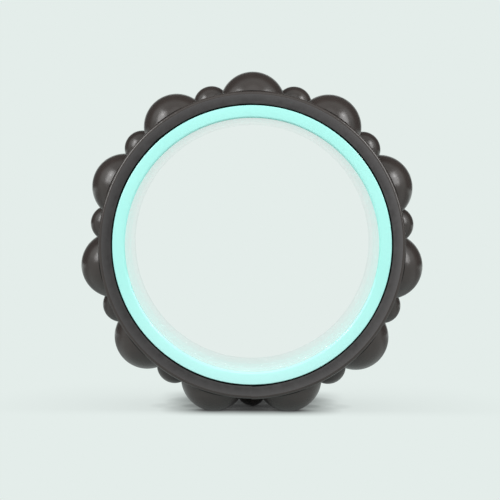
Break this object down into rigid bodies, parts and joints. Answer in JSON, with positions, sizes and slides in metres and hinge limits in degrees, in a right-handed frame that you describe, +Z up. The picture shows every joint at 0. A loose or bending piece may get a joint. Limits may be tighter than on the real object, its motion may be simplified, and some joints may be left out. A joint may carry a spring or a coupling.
{
  "type": "back roller wheel",
  "caption": "Back roller wheel: a hollow plastic ring core in a foam sleeve moulded with large and small massage bumps, open right through its middle.",
  "frame": {"origin": "the wheel's centre, on its axis and in the middle of its width", "axes": "+Y along the wheel's axis, from the front side face to the rear one; +Z up through a pair of large bumps, so the wheel stands on the two pairs of large bumps either side of straight down"},
  "size_m": [0.327, 0.13, 0.3257],
  "materials": {
    "core_plastic": "gloss",
    "bonding_film": "matte",
    "sleeve_foam": "satin"
  },
  "bodies": {
    "root": {"core_front_half": "core_plastic", "core_rear_half": "core_plastic", "bonding_film": "bonding_film", "massage_sleeve": "sleeve_foam"}
  },
  "joints": []
}
